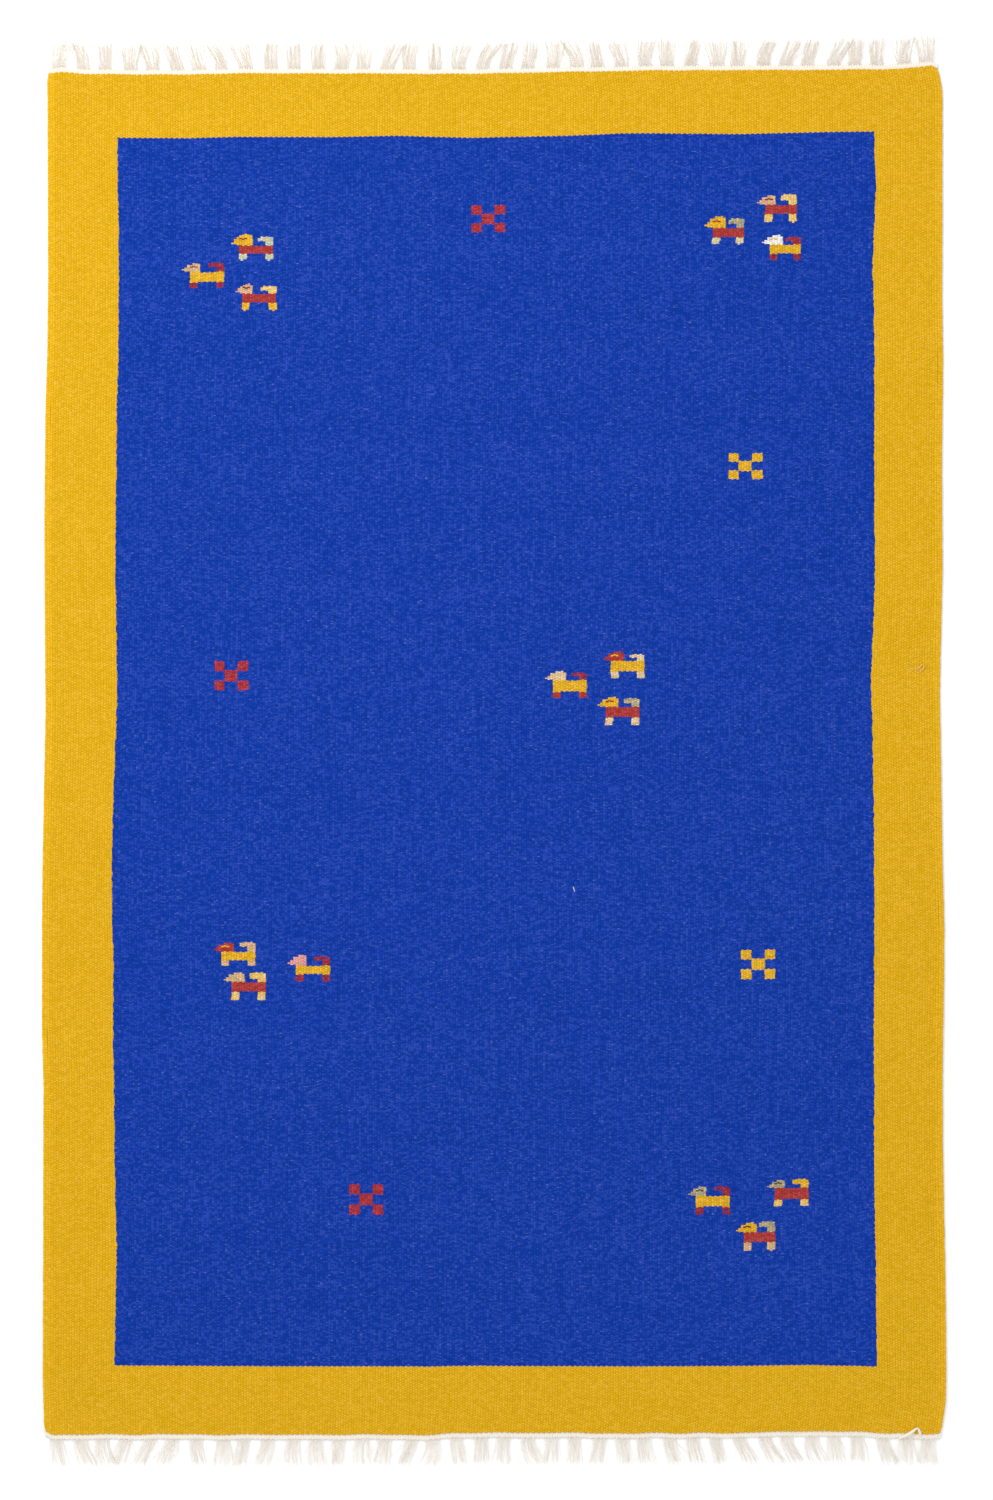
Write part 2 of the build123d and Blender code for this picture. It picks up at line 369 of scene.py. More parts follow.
def weave(name, spans, top=THICK, groove=GROOVE):
    """One colour as a closed skin: spans is {warp: [(low, high), ...]} in microns."""
    skin = Skin()
    rows = {c: [row_levels(c, low, high) for low, high in pieces] for c, pieces in spans.items()}
    lines = {}
    for column, pieces in rows.items():
        for line in (column, column + 1):
            levels = lines.setdefault(line, set())
            for levels_here in pieces:
                levels.update(levels_here)
    for line, levels in lines.items():
        for y in JAGS.get(line, {}):
            if sum(low < y < high for c in (line - 1, line) for low, high in spans.get(c, ())) == 1:
                levels.add(y)
    lines = {line: sorted(levels) for line, levels in lines.items()}

    def gap(line, y, side):
        x = LEFT + line * PITCH + JAGS.get(line, {}).get(y, 0.0)
        return skin.point((line, y, side), x, y * MICRON, top - groove if side == "top" else groove)

    def rib(column, y, where):
        share, z = {"left": (SHOULDER, top - SHOULDER_DROP), "crest": (0.5, top),
                    "right": (1 - SHOULDER, top - SHOULDER_DROP), "under": (0.5, 0.0)}[where]
        return skin.point((column, y, where), LEFT + (column + share) * PITCH, y * MICRON, z)

    for column, pieces in rows.items():
        for levels in pieces:
            for a, b in zip(levels, levels[1:]):
                left = [y for y in lines[column] if a <= y <= b]
                right = [y for y in lines[column + 1] if a <= y <= b]
                skin.faces.append([gap(column, y, "top") for y in reversed(left)]
                                  + [rib(column, a, "left"), rib(column, b, "left")])
                for one, two in (("left", "crest"), ("crest", "right")):
                    skin.faces.append([rib(column, a, one), rib(column, a, two),
                                       rib(column, b, two), rib(column, b, one)])
                skin.faces.append([rib(column, a, "right")] + [gap(column + 1, y, "top") for y in right]
                                  + [rib(column, b, "right")])
                skin.faces.append([gap(column, y, "under") for y in left]
                                  + [rib(column, b, "under"), rib(column, a, "under")])
                skin.faces.append([rib(column, a, "under"), rib(column, b, "under")]
                                  + [gap(column + 1, y, "under") for y in reversed(right)])
            for y, turned in ((levels[0], False), (levels[-1], True)):
                wall = [gap(column, y, "under"), rib(column, y, "under"), gap(column + 1, y, "under"),
                        gap(column + 1, y, "top"), rib(column, y, "right"), rib(column, y, "crest"),
                        rib(column, y, "left"), gap(column, y, "top")]
                skin.faces.append(wall[::-1] if turned else wall)
    for line, levels in lines.items():
        for a, b in zip(levels, levels[1:]):
            inside = [any(low <= a and b <= high for low, high in spans.get(c, ()))
                      for c in (line - 1, line)]
            if inside[0] != inside[1]:
                wall = [gap(line, a, "under"), gap(line, a, "top"),
                        gap(line, b, "top"), gap(line, b, "under")]
                skin.faces.append(wall if inside[1] else wall[::-1])
    return skin_object(name, skin.points, skin.faces)


def placed(name, data):
    thing = bpy.data.objects.new(name, data)
    bpy.context.scene.collection.objects.link(thing)
    return thing


CLOTH_SMOOTH = 50
YARN_SMOOTH = 80


def skin_object(name, points, faces, smooth_below=CLOTH_SMOOTH):
    """A mesh laid on the floor, with its place in the weave kept on each point."""
    flat = np.array(points, float)
    laid = np.stack(lay(flat[:, 0], flat[:, 1], flat[:, 2]), axis=1)
    mesh = bpy.data.meshes.new(name)
    mesh.from_pydata(laid.tolist(), [], faces)
    mesh.update()
    place = mesh.attributes.new("weave", "FLOAT_VECTOR", "POINT")
    place.data.foreach_set("vector", flat.astype(np.float32).ravel())
    mesh.polygons.foreach_set("use_smooth", np.ones(len(mesh.polygons), bool))
    mesh.set_sharp_from_angle(angle=math.radians(smooth_below))
    return placed(name, mesh)


# ---- Materials ----
# How bright white is in this room.
ROOM = 1.1
CLOTH_SPECULAR = 0.03
CLOTH_SHEEN_ROUGHNESS = 0.6


class Nodes:
    """A small helper for writing node trees."""

    def __init__(self, name):
        self.material = bpy.data.materials.new(name)
        self.material.use_nodes = True
        self.tree = self.material.node_tree
        self.tree.nodes.clear()

    def add(self, kind, **settings):
        node = self.tree.nodes.new(kind)
        for key, value in settings.items():
            setattr(node, key, value)
        return node

    def put(self, socket, value):
        if isinstance(value, bpy.types.NodeSocket):
            self.tree.links.new(value, socket)
        else:
            socket.default_value = value

    def math(self, operation, a, b=0.0):
        node = self.add("ShaderNodeMath", operation=operation)
        for socket, value in zip(node.inputs, (a, b)):
            self.put(socket, value)
        return node.outputs[0]

    def times(self, a, b):
        return self.math("MULTIPLY", a, b)

    def vector(self, x, y, z):
        node = self.add("ShaderNodeCombineXYZ")
        for socket, value in zip(node.inputs, (x, y, z)):
            self.put(socket, value)
        return node.outputs[0]

    def noise(self, vector, scale, detail):
        """Smooth noise about zero."""
        node = self.add("ShaderNodeTexNoise")
        self.put(node.inputs["Vector"], vector)
        node.inputs["Scale"].default_value = scale
        node.inputs["Detail"].default_value = detail
        return self.math("SUBTRACT", node.outputs["Fac"], 0.5)

    def random(self, vector):
        """A number from 0 to 1 for each whole place."""
        node = self.add("ShaderNodeTexWhiteNoise", noise_dimensions="3D")
        self.put(node.inputs["Vector"], vector)
        return node.outputs["Value"]

    def total(self, *terms):
        out = terms[0]
        for term in terms[1:]:
            out = self.math("ADD", out, term)
        return out

    def weave_place(self):
        """Where a point is in the straight weave, across and along the warps, in metres."""
        split = self.add("ShaderNodeSeparateXYZ")
        self.put(split.inputs[0], self.add("ShaderNodeAttribute", attribute_name="weave").outputs["Vector"])
        return split.outputs[0], split.outputs[1]

    def dome(self, share, power):
        """0 at both ends of a share from 0 to 1, and 1 in the middle."""
        hump = self.times(self.times(share, self.math("SUBTRACT", 1.0, share)), 4.0)
        return self.math("POWER", hump, power)

    def blend(self, chance, one, other):
        """One colour where chance is 0, the other where it is 1."""
        mixed = self.add("ShaderNodeMix", data_type="RGBA")
        self.put(mixed.inputs[0], chance)
        self.put(mixed.inputs[6], one)
        self.put(mixed.inputs[7], other)
        return mixed.outputs[2]

    def cloth(self, colour, factor, speck, speck_colour, height, bump, roughness, sheen):
        """The shader itself, from a base colour, how bright each place is, and a height."""
        scaled = self.add("ShaderNodeVectorMath", operation="SCALE")
        self.put(scaled.inputs[0], colour)
        self.put(scaled.inputs["Scale"], factor)
        flecked = self.blend(speck, scaled.outputs[0], (*speck_colour, 1))
        raised = self.add("ShaderNodeBump")
        raised.inputs["Strength"].default_value = 1.0
        raised.inputs["Distance"].default_value = bump
        self.put(raised.inputs["Height"], height)
        shader = self.add("ShaderNodeBsdfPrincipled")
        self.put(shader.inputs["Base Color"], flecked)
        self.put(shader.inputs["Normal"], raised.outputs["Normal"])
        shader.inputs["Roughness"].default_value = roughness
        shader.inputs["Specular IOR Level"].default_value = CLOTH_SPECULAR
        shader.inputs["Sheen Weight"].default_value = sheen
        shader.inputs["Sheen Roughness"].default_value = CLOTH_SHEEN_ROUGHNESS
        out = self.add("ShaderNodeOutputMaterial")
        self.put(out.inputs["Surface"], shader.outputs[0])
        return self.material


def srgb(r, g, b):
    """A colour as the eye names it, from 0 to 255, as the share of this room's light that it reflects."""
    linear = [((c / 255 + 0.055) / 1.055) ** 2.4 if c > 10 else c / 255 / 12.92 for c in (r, g, b)]
    return tuple(c / ROOM for c in linear)


# How strongly each kind of unevenness shows in wool.
UNEVEN = {"each": 0.5, "ply": 0.6, "fuzz": 0.7, "streak": 0.4, "rib": 0.3, "mottle": 0.12, "band": 0.14}
# What share of the painted shade between the beads is taken off again, so that the mean stays.
PAINTED_SHADE_MEAN = 0.68
WOOL_BUMP = 0.55 * MM
WOOL_ROUGHNESS = 0.92
WOOL_SHEEN = 0.02
# White specks, and the pale haze of loose fibre where the wool is bright.
SPECK = (0.9, 0.9, 0.88)
SPECK_CHANCE = 0.007
SPECK_STRENGTH = 0.07
LEAST_HAZE = 0.003
# The wrapped edge is painted a little brighter than the border: a painted highlight along the rolled edge.
EDGE_PAINTED_HIGHLIGHT = 1.07
EDGE_BLEND = 1.5 * MM


def wool(name, colour, second=None, second_share=0.0, *, seed, speckle=0.7, painted_shade=0.68, haze=0.11,
         painted_highlight_past=None):
    """Weft-faced wool: a bead on each warp for every other pick, in heathered yarn."""
    n = Nodes(name)
    u, v = n.weave_place()
    warp = n.math("DIVIDE", n.math("SUBTRACT", u, LEFT), PITCH)
    column, across = n.math("FLOOR", warp), n.math("FRACT", warp)
    pick = n.math("ADD", n.math("DIVIDE", v, BEAD), n.times(n.math("MODULO", column, 2.0), 0.5))
    row, up = n.math("FLOOR", pick), n.math("FRACT", pick)
    bead_height = n.times(n.dome(up, 0.6), n.dome(across, 0.18))
    # Patches to the metre across and along the warps, or both, and then the noise's detail.
    uneven = {
        "each": n.math("SUBTRACT", n.random(n.vector(column, row, seed)), 0.5),
        "ply": n.noise(n.vector(n.times(u, 700.0), n.times(v, 2400.0), seed), 1.0, 3.0),
        "fuzz": n.noise(n.vector(u, v, seed), 420.0, 4.0),
        "streak": n.noise(n.vector(n.times(u, 26.0), n.math("DIVIDE", v, BEAD * 0.8), seed), 1.0, 2.0),
        "rib": n.noise(n.vector(n.math("DIVIDE", u, PITCH * 0.9), n.times(v, 9.0), seed), 1.0, 1.0),
        "mottle": n.noise(n.vector(u, v, seed), 90.0, 2.0),
        "band": n.noise(n.vector(n.times(u, 0.9), n.times(v, 17.0), seed), 1.0, 2.0),
    }
    spread = n.total(*(n.times(uneven[kind], strength * speckle) for kind, strength in UNEVEN.items()))
    # Painted shade: the colour is darkened where the bead height falls, in the hollows between picks and in
    # the grooves between warps.
    shade = n.math("ADD", n.times(bead_height, painted_shade), 1.0 - PAINTED_SHADE_MEAN * painted_shade)
    factor = n.times(n.math("ADD", spread, 1.0), shade)
    # Painted highlight: past the wrapped edge's start the colour is brightened.
    if painted_highlight_past is not None:
        rise = n.add("ShaderNodeMapRange", clamp=True)
        n.put(rise.inputs[0], n.math("ABSOLUTE", u))
        for socket, value in zip(rise.inputs[1:5],
                                 (painted_highlight_past, painted_highlight_past + EDGE_BLEND, 1.0, EDGE_PAINTED_HIGHLIGHT)):
            socket.default_value = value
        factor = n.times(factor, rise.outputs[0])
    base = colour
    if second is not None:
        wander = n.noise(n.vector(u, v, seed + 3.0), 260.0, 2.0)
        chance = n.math("ADD", n.random(n.vector(column, row, seed + 5.0)), wander)
        base = n.blend(n.math("LESS_THAN", chance, second_share), (*colour, 1), (*second, 1))
    speck = n.random(n.vector(column, n.math("FLOOR", n.times(pick, 2.0)), seed + 9.0))
    speck = n.times(n.math("GREATER_THAN", speck, 1 - SPECK_CHANCE), SPECK_STRENGTH)
    loose = n.math("MAXIMUM", n.math("ADD", n.times(spread, haze), LEAST_HAZE), 0.0)
    height = n.math("ADD", bead_height, n.times(uneven["ply"], 0.5))
    speck = n.math("ADD", speck, loose)
    return n.cloth(base, factor, speck, SPECK, height, WOOL_BUMP, WOOL_ROUGHNESS, WOOL_SHEEN)


COTTON_UNEVEN = 0.25
COTTON_MOTTLE = 0.12
COTTON_BUMP = 0.35 * MM
COTTON_ROUGHNESS = 0.9
COTTON_SHEEN = 0.1
# Where the fibres are this bright they turn a little darker than the yarn.
FIBRE_PAST = 0.16
FIBRE_STRENGTH = 0.2
FIBRE_TONE = 0.8


def cotton(name, colour, along_scale, across_scale, seed):
    """Undyed cotton: plied yarn with fine fibres along it."""
    n = Nodes(name)
    u, v = n.weave_place()
    fibre = n.noise(n.vector(n.times(u, across_scale), n.times(v, along_scale), seed), 1.0, 3.0)
    fuzz = n.noise(n.vector(u, v, seed), 500.0, 3.0)
    slow = n.noise(n.vector(u, v, seed), 60.0, 2.0)
    factor = n.total(n.times(fibre, COTTON_UNEVEN), n.times(fuzz, COTTON_UNEVEN),
                     n.times(slow, COTTON_MOTTLE), 1.0)
    speck = n.times(n.math("GREATER_THAN", fibre, FIBRE_PAST), FIBRE_STRENGTH)
    tone = tuple(c * FIBRE_TONE for c in colour)
    return n.cloth(colour, factor, speck, tone, fibre, COTTON_BUMP, COTTON_ROUGHNESS, COTTON_SHEEN)


BLUE = srgb(12, 59, 168)
YELLOW = srgb(228, 176, 22)
RED = srgb(171, 57, 54)
GOLD = srgb(225, 174, 38)
TAN = srgb(205, 176, 122)
PINK = srgb(222, 168, 140)
ROSE = srgb(226, 150, 156)
FADED_RED = srgb(158, 46, 58)
PLUM = srgb(96, 48, 112)
UMBER = srgb(140, 88, 66)
CREAM = srgb(222, 198, 152)
GREY = srgb(165, 160, 132)
WHITE = srgb(236, 232, 224)
MINT = srgb(184, 200, 176)
BROWN = srgb(96, 52, 36)
PALE_YELLOW = srgb(232, 190, 88)
LOOSE_YELLOW = srgb(246, 214, 128)
CROSS_RED = srgb(174, 52, 62)
MAROON = srgb(140, 42, 38)
COTTON = srgb(246, 241, 229)
YARN = srgb(246, 237, 224)
# The top fringe's yarn is the same cotton made darker: painted shade.
SHADED_TOP_YARN = srgb(238, 226, 209)

# The wrapped edge, and its painted highlight, start this far from the rug's middle.
WRAPPED_FROM = 0.5895

# Each shade: the record's material slot, and the material.
SHADES = {
    "blue": ("wool_blue", wool("blue_wool", BLUE, seed=1.0, speckle=0.62, painted_shade=0.5)),
    "border": ("wool_yellow", wool("border_wool", YELLOW, seed=2.0, speckle=0.32, painted_shade=0.5, haze=0.2,
                                   painted_highlight_past=WRAPPED_FROM)),
    "yellow": ("wool_yellow", wool("yellow_wool", GOLD, seed=3.0)),
    "red": ("wool_red", wool("red_wool", RED, seed=4.0)),
    "faded": ("wool_red", wool("faded_red_wool", FADED_RED, PLUM, 0.22, seed=4.5)),
    "crosses": ("wool_red", wool("cross_red_wool", CROSS_RED, FADED_RED, 0.4, seed=4.7)),
    "tan": ("wool_tan", wool("tan_wool", TAN, PINK, 0.3, seed=5.0)),
    "pink": ("wool_pink", wool("pink_wool", PINK, TAN, 0.35, seed=6.0)),
    "rose": ("wool_pink", wool("rose_wool", ROSE, PINK, 0.25, seed=6.5)),
    "cream": ("wool_tan", wool("cream_wool", CREAM, PINK, 0.2, seed=7.0)),
    "grey": ("wool_grey", wool("grey_wool", GREY, TAN, 0.35, seed=8.0)),
    "white": ("wool_white", wool("white_wool", WHITE, seed=9.0)),
    "mint": ("wool_mint", wool("mint_wool", MINT, CREAM, 0.4, seed=10.0)),
    "brown": ("wool_brown", wool("brown_wool", BROWN, seed=11.0)),
    "umber": ("wool_brown", wool("umber_wool", UMBER, seed=11.5)),
    "maroon": ("wool_red", wool("maroon_wool", MAROON, seed=11.7)),
    "pale": ("wool_yellow", wool("pale_yellow_wool", PALE_YELLOW, CREAM, 0.3, seed=12.0)),
    "loose": ("wool_yellow", wool("loose_yellow_wool", LOOSE_YELLOW, seed=15.0, speckle=0.3, painted_shade=0.1)),
    # Cotton's two scales are patches of fibre per metre, along and across the warps.
    "web": ("cotton_white", cotton("web_cotton", COTTON, 900.0, 300.0, seed=13.0)),
    "yarn": ("cotton_warp", cotton("warp_cotton", YARN, 120.0, 2600.0, seed=14.0)),
    "shaded_top_yarn": ("cotton_warp", cotton("top_warp_cotton_painted_shade", SHADED_TOP_YARN, 120.0, 2600.0, seed=14.5)),
}


def finish_piece(piece, shade, *nodes):
    """Colours a piece, makes it ride on the rug, and hides the CAD nodes it stands for."""
    slot, material = SHADES[shade]
    piece.data.materials.append(material)
    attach(piece, "root")
    if nodes:
        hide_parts(*nodes)
    return piece


def below(spans, y):
    """The part of some spans that lies under a height in metres."""
    kept = {c: [s for s in pieces if s[1] * MICRON < y] for c, pieces in spans.items()}
    return {c: pieces for c, pieces in kept.items() if pieces}


def above(spans, y):
    kept = {c: [s for s in pieces if s[0] * MICRON > y] for c, pieces in spans.items()}
    return {c: pieces for c, pieces in kept.items() if pieces}


# ---- The coloured cloth ----
field = finish_piece(weave("field_cloth", SPANS["field"]), "blue", "field")
for side in ("left", "right", "top", "bottom"):
    node = "border_" + side
    finish_piece(weave(node + "_cloth", SPANS[node]), "border", node)
motifs = [
    finish_piece(weave("red_crosses", SPANS["crosses_red"]), "crosses", "crosses_red"),
    finish_piece(weave("yellow_crosses", SPANS["crosses_yellow"]), "yellow", "crosses_yellow"),
]

# Each horse's colours: head, body, tail and legs, and its eye if it has one.
HORSES = {
    "horse_01": ("yellow", "red", "mint", "mint", "maroon"),
    "horse_02": ("tan", "yellow", "faded", "faded", "umber"),
    "horse_03": ("pink", "red", "pale", "yellow", "brown"),
    "horse_04": ("yellow", "red", "grey", "mint", "maroon"),
    "horse_05": ("pink", "red", "pale", "pale", "maroon"),
    "horse_06": ("white", "yellow", "faded", "faded", "tan"),
    "horse_07": ("cream", "yellow", "faded", "red", None),
    "horse_08": ("red", "yellow", "cream", "cream", "yellow"),
    "horse_09": ("yellow", "red", "grey", "cream", "maroon"),
    "horse_10": ("red", "yellow", "tan", "tan", "yellow"),
    "horse_11": ("tan", "red", "pale", "pale", None),
    "horse_12": ("rose", "yellow", "faded", "faded", None),
    "horse_13": ("grey", "yellow", "faded", "faded", "brown"),
    "horse_14": ("grey", "red", "yellow", "pale", "brown"),
    "horse_15": ("yellow", "red", "grey", "tan", "brown"),
}
# The tail is what stands higher than this below the horse's back.
TAIL_LAP = 2 * MM
for horse, (head, body, tail, legs, eye) in HORSES.items():
    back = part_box(horse + "_body")[1].y - TAIL_LAP
    hind = horse + "_tail_and_legs"
    motifs.append(finish_piece(weave(horse + "_head_weft", SPANS[horse + "_head"]), head, horse + "_head"))
    motifs.append(finish_piece(weave(horse + "_body_weft", SPANS[horse + "_body"]), body, horse + "_body"))
    motifs.append(finish_piece(weave(horse + "_tail_weft", above(SPANS[hind], back)), tail, hind))
    motifs.append(finish_piece(weave(horse + "_legs_weft", below(SPANS[hind], back)), legs, hind))
    if eye:
        low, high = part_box(horse + "_head")
        here = {c: [s for s in pieces if low.y < s[0] * MICRON < high.y]
                for c, pieces in SPANS["horse_eyes"].items()
                if low.x < LEFT + (c + 0.5) * PITCH < high.x}
        here = {c: pieces for c, pieces in here.items() if pieces}
        motifs.append(finish_piece(weave(horse + "_eye_weft", here), eye, "horse_eyes"))

# ---- Webs at the ends ----
WEB_TOP = THICK - 1.6 * MM
WEB_GROOVE = 0.7 * MM
for side in ("top", "bottom"):
    node = "end_web_" + side
    web = weave(node + "_cloth", SPANS[node], top=WEB_TOP, groove=WEB_GROOVE)
    finish_piece(web, "web", node)


# ---- Selvedges: the outermost warps wrapped in a rounded edge ----
# The section of the edge: mm outwards from the border's last groove, and mm up.
ROLL = [(0.0, 0.6), (0.0, 3.4), (0.9, 3.9), (1.75, 3.95), (2.9, 3.75), (3.5, 3.45), (4.2, 3.8),
        (5.2, 3.85), (6.2, 3.4), (6.85, 2.6), (7.0, 1.9), (6.7, 0.9), (5.6, 0.15), (3.5, 0.0),
        (1.5, 0.05)]
# The part past this, in mm, bulges a little more or less at each bead.
BULGES_PAST = 4
BULGE = (-0.045, 0.03)
# How much of its thickness the roll has at its last rows, from the end.
ROLL_CLOSE = (0.75, 0.9)


def roll(name, inner, outward):
    """A rounded edge from the border's last groove out to the rug's side."""
    points, faces = [], []
    count = round(2 * WOVEN_END / (2 * BEAD))
    dice = random.Random(name)
    for row in range(count + 1):
        v = -WOVEN_END + 2 * WOVEN_END * row / count
        bulge = 1 + dice.uniform(*BULGE)
        end = min(row, count - row)
        close = ROLL_CLOSE[end] if end < len(ROLL_CLOSE) else 1.0
        for x, z in ROLL:
            kept = close if x else 1.0
            out = x * MM * (bulge if x > BULGES_PAST else 1.0) * kept
            points.append((inner + outward * out, v, THICK / 2 + (z * MM - THICK / 2) * kept))
    ring = len(ROLL)
    for row in range(count):
        for i in range(ring):
            a, b = row * ring + i, row * ring + (i + 1) % ring
            face = [a, b, b + ring, a + ring]
            faces.append(face if outward < 0 else face[::-1])
    first = list(range(ring))
    last = [count * ring + i for i in range(ring)]
    faces.append(first[::-1] if outward < 0 else first)
    faces.append(last if outward < 0 else last[::-1])
    return skin_object(name, points, faces)


selvedges = [
    finish_piece(roll("selvedge_left_roll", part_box("selvedge_left")[1].x, -1), "border", "selvedge_left"),
    finish_piece(roll("selvedge_right_roll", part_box("selvedge_right")[0].x, 1), "border", "selvedge_right"),
]


# ---- Yarn ----
def tube(points, faces, line, radii, sides):
    """Adds a closed tube along a line of (x, y, z) to the lists of points and faces."""
    start = len(points)
    line = np.array(line, float)
    ways = np.gradient(line, axis=0)
    for place, way, radius in zip(line, ways, radii):
        way = way / max(np.linalg.norm(way), 1e-9)
        side = np.array((way[1], -way[0], 0.0))
        side = side / max(np.linalg.norm(side), 1e-9)
        over = np.cross(side, way)
        for i in range(sides):
            turn = 2 * math.pi * i / sides
            points.append(tuple(place + radius * (math.cos(turn) * side + math.sin(turn) * over)))
    rings = len(line)
    for row in range(rings - 1):
        for i in range(sides):
            a = start + row * sides + i
            b = start + row * sides + (i + 1) % sides
            faces.append([a, b, b + sides, a + sides])
    faces.append([start + i for i in reversed(range(sides))])
    faces.append([start + (rings - 1) * sides + i for i in range(sides)])


WARP_ROWS = 24
WARP_RADIUS = 0.55 * MM
WARP_INSET = 3 * MM
points, faces = [], []
for column in range(WARPS):
    x = LEFT + (column + 0.5) * PITCH
    x = min(max(x, LEFT + WARP_INSET), RIGHT - WARP_INSET)
    line = [(x, WEB_END * (2 * row / WARP_ROWS - 1), WARP_MIDDLE) for row in range(WARP_ROWS + 1)]
    tube(points, faces, line, [WARP_RADIUS] * (WARP_ROWS + 1), 4)
warps = finish_piece(skin_object("warp_yarns", points, faces), "yarn", "warps")

# Tassels: nine warp ends each, untwisted into loose strands that lean and curl.
# How far each tassel's tip leans, in mm, from left to right.
TOP_LEANS = [8, -8, 1, 3, -6, -10, -8, -14, -10, 0, 0, 2, 1, 0, 14, 4, 0, 8, 18, 9, 6, 2, -15, -6, -8, 3,
             0, 7, 0, 2, 9, 17, 10, 17, 5, 2, 1, 0]
BOTTOM_LEANS = [6, 12, 5, -10, -15, -13, 5, 0, -6, -9, 0, 0, -4, 0, -5, -12, -4, 6, 0, -2, 12, 0, 2, -5, 5,
                5, 10, 8, 9, 16, 18, 16, 10, 5, 3, 12, 2, 0]
TASSELS = len(TOP_LEANS)
STRANDS = 27
JOINTS = 8
# How wide a tassel is where it leaves the web, and at its tip before it splays.
ROOT = 18.5 * MM
TIP = 21.0 * MM
# Each strand starts this far inside the web and this high, and rises and falls.
ROOT_INSIDE = 1.5 * MM
ROOT_HEIGHT = 1.9 * MM
CLEAR_OF_FLOOR = 0.2 * MM
TOP_FULLNESS, BOTTOM_FULLNESS = 1.08, 0.95
STRAND_TAPER = 0.2
CIRCLE = 6.28
# The ranges of a tassel's draws: its middle and bend in mm, and its splay,
# which is wider in the last two at the right.
MIDDLE, BEND, SPLAY, LAST_SPLAY = 2.5, 2, (0.8, 1.5), 0.5
# The ranges of a strand's draws, lengths in mm; a stray one leans further and
# is shorter.
LEAN_SHARE, TIP_SPREAD, REACH = (0.75, 1.15), 1.6, (0.88, 1.1)
STRAY_SHARE, STRAY_TIP, STRAY_REACH = 0.1, 14, (0.6, 1.0)
WAVE, TURNS, HIGH, STRAND_RADIUS = (0.2, 1.0), (0.8, 2.4), (0.2, 2.4), (0.17, 0.3)


def fringe(name, end, leans, seed):
    """All the tassels of one end; end is 1 at the top and -1 at the bottom."""
    dice = random.Random(seed)
    points, faces = [], []
    width = (RIGHT - LEFT) / TASSELS
    length = FRINGE_END - WEB_END
    fullness = TOP_FULLNESS if end > 0 else BOTTOM_FULLNESS
    for tassel, lean in enumerate(leans):
        middle = LEFT + (tassel + 0.5) * width
        middle += dice.uniform(-MIDDLE, MIDDLE) * MM * (0 < tassel < TASSELS - 1)
        bend = dice.uniform(-BEND, BEND) * MM - 0.15 * lean * MM
        splay = dice.uniform(*SPLAY) + (LAST_SPLAY if tassel > TASSELS - 3 else 0.0)
        for strand in range(STRANDS):
            share = (strand + dice.uniform(0.1, 0.9)) / STRANDS * 2 - 1
            root = middle + share * ROOT / 2
            tip = middle + lean * MM * dice.uniform(*LEAN_SHARE) + share * TIP / 2 * splay
            tip += dice.gauss(0, TIP_SPREAD) * MM
            reach = length * dice.uniform(*REACH)
            if dice.random() < STRAY_SHARE:
                tip += dice.uniform(-STRAY_TIP, STRAY_TIP) * MM
                reach *= dice.uniform(*STRAY_REACH)
            wave = dice.uniform(*WAVE) * MM
            phase = dice.uniform(0, CIRCLE)
            turns = dice.uniform(*TURNS)
            high = dice.uniform(*HIGH) * MM
            line = []
            for joint in range(JOINTS + 1):
                t = joint / JOINTS
                ease = t * t * (3 - 2 * t) * 0.5 + t * 0.5
                x = root + (tip - root) * ease + bend * math.sin(math.pi * t)
                x += wave * math.sin(phase + turns * CIRCLE * t) * t
                y = end * (WEB_END - ROOT_INSIDE + (reach + ROOT_INSIDE) * t)
                z = ROOT_HEIGHT * (1 - t) + high * t * (1 - 0.55 * t) + CLEAR_OF_FLOOR
                line.append((x, y, z))
            thick = dice.uniform(*STRAND_RADIUS) * fullness * MM
            radii = [thick * (1 - STRAND_TAPER * joint / JOINTS) for joint in range(JOINTS + 1)]
            tube(points, faces, line, radii, 3)
    # The top fringe takes the darker copy of the yarn, a painted shade.
    shade, node = ("shaded_top_yarn", "fringe_top") if end > 0 else ("yarn", "fringe_bottom")
    return finish_piece(skin_object(name, points, faces, YARN_SMOOTH), shade, node)


fringes = {
    "top": fringe("fringe_top_strands", 1, TOP_LEANS, 11),
    "bottom": fringe("fringe_bottom_strands", -1, BOTTOM_LEANS, 12),
}


def rounded(piece):
    """Subdivides a piece of yarn, so that its few points make a smooth line."""
    smooth = piece.modifiers.new("smooth", "SUBSURF")
    smooth.levels = smooth.render_levels = 2
    return piece


# ---- A pinch of the bottom web pulled up over the border near the right corner ----
# Each point: x, y, z and radius, in mm.
PINCH = [(543, -919, 3.0, 1.5), (550, -916, 4.4, 2.2), (556, -912.5, 5.6, 2.6), (562, -907, 6.6, 2.4),
         (566.5, -902, 6.8, 1.0), (568.5, -904.5, 6.4, 1.7), (571, -909, 5.0, 2.0), (573.5, -914, 3.2, 1.6)]
PINCH_SINK = 1.2
line = [(x * MM, y * MM, z * MM - PINCH_SINK * MM) for x, y, z, _ in PINCH]
points, faces = [], []
tube(points, faces, line, [radius * MM for *_, radius in PINCH], 10)
pinch = rounded(finish_piece(skin_object("web_pinch", points, faces, YARN_SMOOTH), "web"))


# ---- Two stray bits of yarn that lie on the cloth: a white fibre and a pale curl ----
def stray(name, shade, line, radius):
    """A bit of yarn, thickest in its middle; the line is x and y in metres, and mm above the cloth."""
    points, faces = [], []
    count = len(line)
    radii = [radius * MM * (0.5 + math.sin(math.pi * (i + 0.5) / count) / 2) for i in range(count)]
    tube(points, faces, [(x, y, THICK + z * MM) for x, y, z in line], radii, 6)
    return rounded(finish_piece(skin_object(name, points, faces, YARN_SMOOTH), shade))


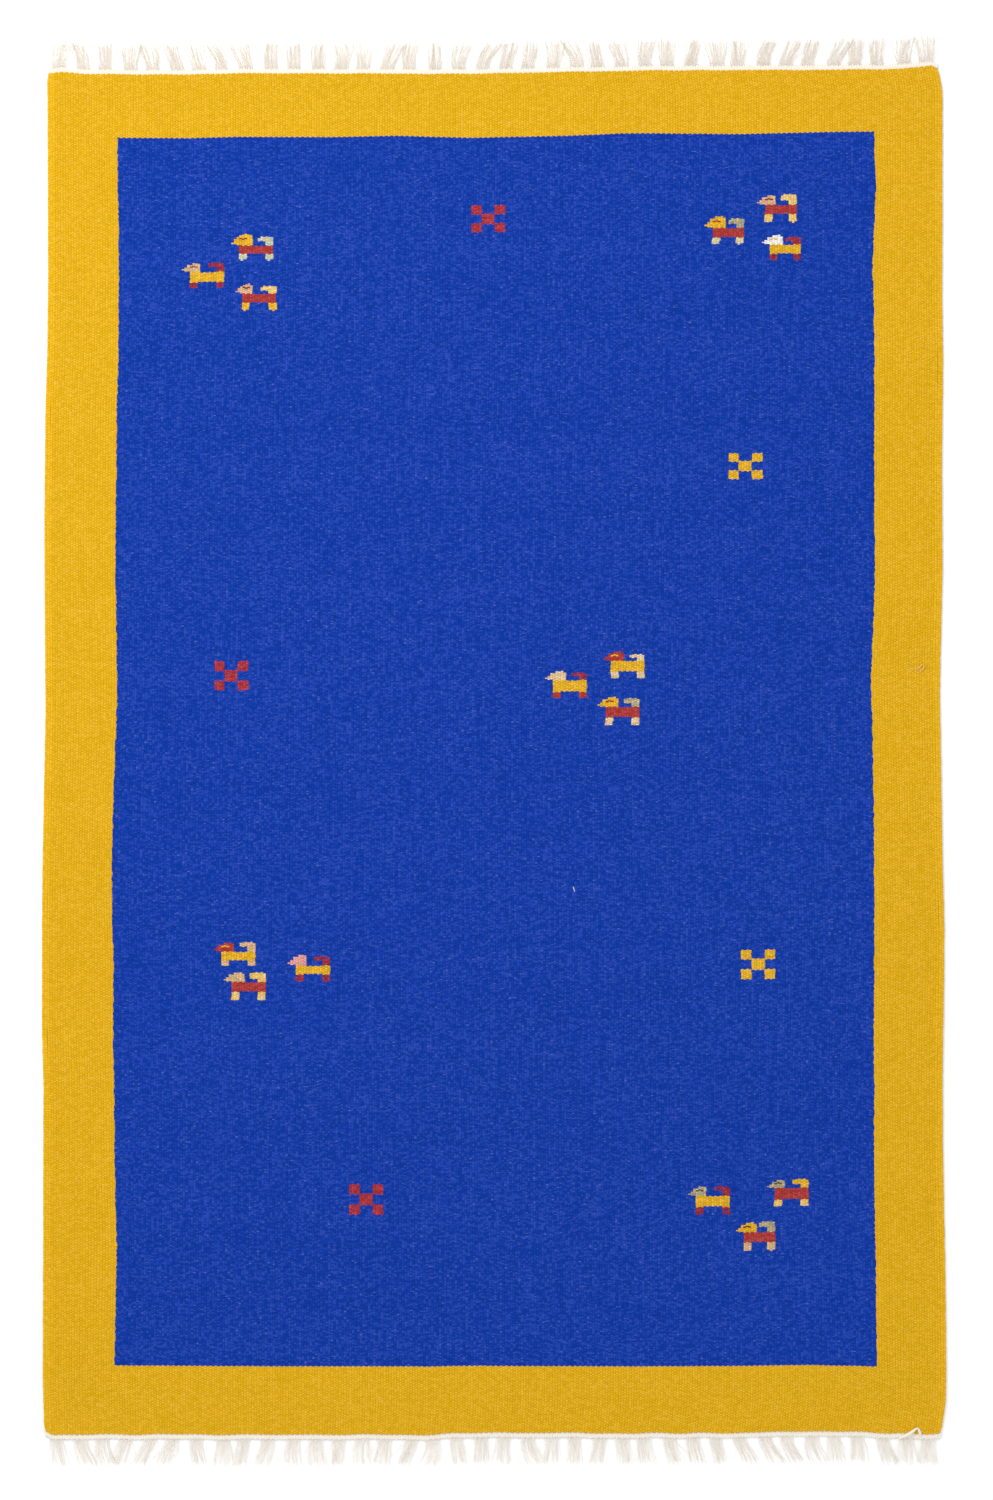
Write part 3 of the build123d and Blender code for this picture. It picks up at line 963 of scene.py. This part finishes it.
FIBRE_LINE = [(0.1072, -0.1795, 0.1), (0.1077, -0.182, 0.5), (0.1086, -0.1845, 0.6),
              (0.1092, -0.1868, 0.2)]
CURL_LINE = [(0.557, 0.1128, 0.0), (0.563, 0.1105, 0.4), (0.5685, 0.1092, 0.7), (0.5725, 0.1125, 0.9),
             (0.5758, 0.1168, 0.9), (0.5786, 0.113, 1.3), (0.5762, 0.108, 1.2), (0.5718, 0.1066, 0.8),
             (0.569, 0.104, 0.2)]
fibre = stray("stray_fibre", "white", FIBRE_LINE, 0.75)
curl = stray("stray_curl", "loose", CURL_LINE, 0.8)


# ---- Floor, light and camera ----
FLOOR_HALF = 9
floor_mesh = bpy.data.meshes.new("floor")
floor_mesh.from_pydata([(-FLOOR_HALF, -FLOOR_HALF, 0), (FLOOR_HALF, -FLOOR_HALF, 0),
                        (FLOOR_HALF, FLOOR_HALF, 0), (-FLOOR_HALF, FLOOR_HALF, 0)], [], [(0, 1, 2, 3)])
floor = placed("floor", floor_mesh)
floor.location.z = -0.2 * MM
pale = Nodes("pale_floor")
coords = pale.add("ShaderNodeTexCoord").outputs["Object"]
tone = pale.math("ADD", pale.times(pale.noise(coords, 3.0, 3.0), 0.01), 0.96)
mix = pale.add("ShaderNodeCombineColor")
for socket in mix.inputs:
    pale.put(socket, tone)
floor_shader = pale.add("ShaderNodeBsdfPrincipled")
pale.put(floor_shader.inputs["Base Color"], mix.outputs[0])
floor_shader.inputs["Roughness"].default_value = 0.9
floor_shader.inputs["Specular IOR Level"].default_value = 0.1
floor_out = pale.add("ShaderNodeOutputMaterial")
pale.put(floor_out.inputs["Surface"], floor_shader.outputs[0])
floor_mesh.materials.append(pale.material)

world = bpy.data.worlds.new("studio")
world.use_nodes = True
background = world.node_tree.nodes["Background"]
background.inputs["Color"].default_value = (1, 1, 1, 1)
background.inputs["Strength"].default_value = 0.92
bpy.context.scene.world = world

key = bpy.data.lights.new("key", "AREA")
key.shape = "DISK"
key.size = 1.6
key.energy = 62
key_object = placed("key", key)
key_object.location = (-1.7, 1.9, 3.0)
key_object.rotation_euler = (-key_object.location).to_track_quat("-Z", "Y").to_euler()

camera = bpy.data.cameras.new("camera")
camera.lens = 100
camera.sensor_width = 36
camera.clip_end = 60
camera_object = placed("camera", camera)
camera_object.location = (0.0042, 0.0034, 5.588)
bpy.context.scene.camera = camera_object
bpy.context.scene.view_settings.view_transform = "Standard"
